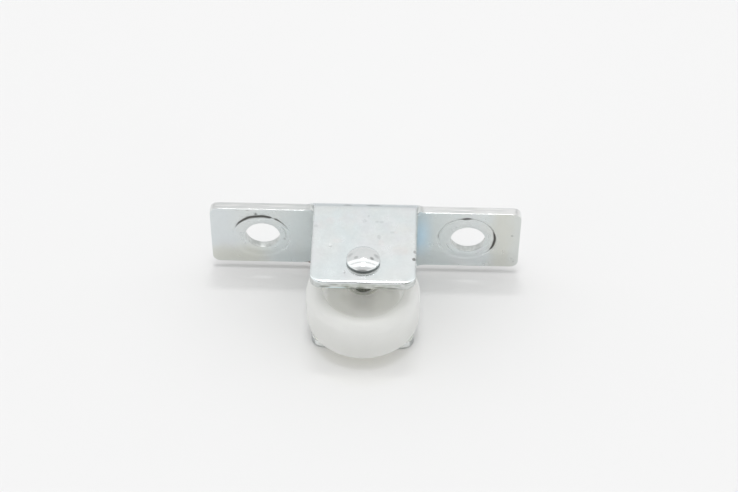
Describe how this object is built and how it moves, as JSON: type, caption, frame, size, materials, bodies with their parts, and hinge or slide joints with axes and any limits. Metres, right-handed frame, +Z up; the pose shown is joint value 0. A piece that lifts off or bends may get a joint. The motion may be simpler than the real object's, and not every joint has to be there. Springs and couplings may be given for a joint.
{
  "type": "garage door roller",
  "caption": "Guide roller for a garage door: a recessed nylon wheel that turns on a domed rivet between the cheeks of a folded, zinc plated bracket with punched fixing wings.",
  "frame": {"origin": "midway between the two fixing holes, on the back face of the bracket's plate", "axes": "+X along the wings, +Y towards the surface that the bracket is bolted to, +Z up along the axle, towards the rivet's head"},
  "size_m": [0.085, 0.0388, 0.0294],
  "materials": {
    "zinc_plate": "bright zinc plate, satin, with faint passivation tints, sheared edges and small blemishes",
    "rivet_steel": "bright plated, polished by forming",
    "natural_nylon": "milky translucent, smooth as moulded, with a soft sheen"
  },
  "bodies": {
    "frame": {"bracket": "zinc_plate", "axle_rivet": "rivet_steel"},
    "wheel": {"roller_wheel": "natural_nylon"}
  },
  "joints": [
    {"name": "wheel_spin", "type": "hinge", "parent": "frame", "child": "wheel", "pos_m": [0, -0.0235, -0.003], "axis": [0, 0, 1], "continuous": true}
  ]
}
